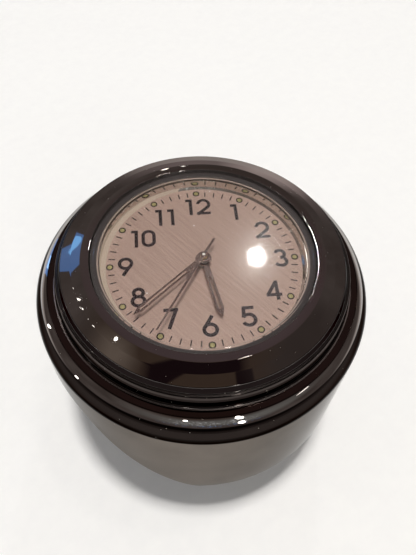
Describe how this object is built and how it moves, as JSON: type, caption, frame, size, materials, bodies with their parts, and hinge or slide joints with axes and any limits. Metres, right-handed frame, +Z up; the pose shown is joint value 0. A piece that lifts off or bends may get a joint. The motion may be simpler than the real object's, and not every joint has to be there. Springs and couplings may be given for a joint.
{
  "type": "handlebar clock",
  "caption": "Round quartz clock in a heavy polished housing with a rolled lip, clamped on a motorcycle handlebar by a half band and socket screws.",
  "frame": {"origin": "middle of the handlebar hole, on the dial's own axis", "axes": "+X along the handlebar, +Z up out of the dial; twelve o'clock points to +Y turned 30 degrees clockwise, as the insert sits in its housing in the picture"},
  "size_m": [0.0484, 0.0488, 0.0417],
  "materials": {
    "polished_chrome": "mirror polished chrome plate",
    "polished_ring": "bright polished ring",
    "screw_steel": "zinc plated steel",
    "washer_steel": "dark spring steel",
    "clear_glass": "clear flat glass with a bevelled edge",
    "grey_gasket": "grey moulded gasket",
    "case_steel": "turned steel",
    "black_rubber": "black nitrile rubber",
    "dial_plate": "brushed champagne silver with black print",
    "lume": "yellow green luminous paint",
    "bright_hands": "polished thin steel",
    "white_plastic": "white moulded plastic",
    "brass_plate": "stamped brass",
    "rotor_magnet": "dark sintered magnet on a white pinion",
    "soft_iron": "pale nickel iron sheet",
    "copper_wire": "enamelled copper wire",
    "cell_steel": "nickel plated steel",
    "board_green": "green circuit board",
    "can_metal": "plated can",
    "chip_black": "black moulded resin",
    "setting_steel": "turned and knurled steel"
  },
  "bodies": {
    "housing": {"housing": "polished_chrome"},
    "clamp": {"clamp_lower": "polished_chrome", "clamp_washers": "washer_steel"},
    "screw_left": {"clamp_screw_left": "screw_steel"},
    "screw_right": {"clamp_screw_right": "screw_steel"},
    "seal": {"o_ring": "black_rubber"},
    "insert": {"bezel": "polished_chrome", "dial_ring": "polished_ring", "bridge_screws": "screw_steel", "crystal": "clear_glass", "crystal_gasket": "grey_gasket", "case_back_gasket": "grey_gasket", "insert_case": "case_steel", "case_back": "case_steel", "dial": "dial_plate", "lume_dots": "lume", "movement_ring": "white_plastic", "main_plate": "brass_plate", "train_bridge": "brass_plate", "stem_tube": "brass_plate", "stator": "soft_iron", "coil_core": "soft_iron", "coil_winding": "copper_wire", "battery_cell": "cell_steel", "battery_strap": "cell_steel", "circuit_board": "board_green", "quartz_can": "can_metal", "driver_chip": "chip_black"},
    "second": {"second_wheel": "white_plastic", "second_hand": "bright_hands"},
    "minute": {"centre_wheel": "brass_plate", "minute_hand": "bright_hands"},
    "hour": {"hour_wheel": "white_plastic", "hour_hand": "bright_hands"},
    "third": {"third_wheel": "brass_plate"},
    "motion": {"minute_wheel": "white_plastic"},
    "fifth": {"fifth_wheel": "white_plastic"},
    "rotor": {"rotor": "rotor_magnet"},
    "setting": {"setting_yoke": "brass_plate"},
    "crown": {"setting_stem": "setting_steel", "crown": "setting_steel"}
  },
  "joints": [
    {"name": "clamp_drop", "type": "slide", "parent": "housing", "child": "clamp", "axis": [0, 0, -1], "range_m": [0, 0.007]},
    {"name": "left_screw_turn", "type": "hinge", "parent": "clamp", "child": "screw_left", "pos_m": [0, 0.0175, 0], "axis": [0, 0, -1], "range_deg": [0, 3601]},
    {"name": "right_screw_turn", "type": "hinge", "parent": "clamp", "child": "screw_right", "pos_m": [0, -0.0175, 0], "axis": [0, 0, -1], "range_deg": [0, 3601]},
    {"name": "insert_lift", "type": "slide", "parent": "housing", "child": "seal", "axis": [0, 0, 1], "range_m": [0, 0.012]},
    {"name": "insert_twist", "type": "hinge", "parent": "seal", "child": "insert", "pos_m": [0, 0, 0.0232], "axis": [0, 0, -1], "continuous": true},
    {"name": "second_hand_turn", "type": "hinge", "parent": "insert", "child": "second", "pos_m": [0, 0, 0.0232], "axis": [0, 0, -1], "continuous": true},
    {"name": "minute_hand_turn", "type": "hinge", "parent": "insert", "child": "minute", "pos_m": [0, 0, 0.0232], "axis": [0, 0, -1], "continuous": true},
    {"name": "hour_hand_turn", "type": "hinge", "parent": "insert", "child": "hour", "pos_m": [0, 0, 0.0232], "axis": [0, 0, -1], "continuous": true},
    {"name": "third_wheel_turn", "type": "hinge", "parent": "insert", "child": "third", "pos_m": [0.00185, 0.00507, 0.0232], "axis": [0, 0, -1], "continuous": true},
    {"name": "motion_wheel_turn", "type": "hinge", "parent": "insert", "child": "motion", "pos_m": [0.00312, 0.0018, 0.0232], "axis": [0, 0, -1], "continuous": true},
    {"name": "fifth_wheel_turn", "type": "hinge", "parent": "insert", "child": "fifth", "pos_m": [0.00092, -0.00524, 0.0232], "axis": [0, 0, -1], "continuous": true},
    {"name": "rotor_turn", "type": "hinge", "parent": "insert", "child": "rotor", "pos_m": [0.00368, -0.00755, 0.0232], "axis": [0, 0, -1], "continuous": true},
    {"name": "crown_pull", "type": "slide", "parent": "insert", "child": "setting", "axis": [0.866, -0.5, 0], "range_m": [0, 0.0008]},
    {"name": "crown_turn", "type": "hinge", "parent": "setting", "child": "crown", "pos_m": [0.01212, -0.007, 0.0183], "axis": [0.866, -0.5, 0], "continuous": true}
  ],
  "couplings": [
    {"joint": "left_screw_turn", "follows": "clamp_drop", "rad_per_m": 8976},
    {"joint": "right_screw_turn", "follows": "clamp_drop", "rad_per_m": 8976},
    {"joint": "third_wheel_turn", "follows": "second_hand_turn", "ratio": -0.13333},
    {"joint": "minute_hand_turn", "follows": "second_hand_turn", "ratio": 0.016667},
    {"joint": "motion_wheel_turn", "follows": "second_hand_turn", "ratio": -0.0055556},
    {"joint": "hour_hand_turn", "follows": "second_hand_turn", "ratio": 0.0013889},
    {"joint": "fifth_wheel_turn", "follows": "second_hand_turn", "ratio": -6},
    {"joint": "rotor_turn", "follows": "second_hand_turn", "ratio": 30}
  ]
}
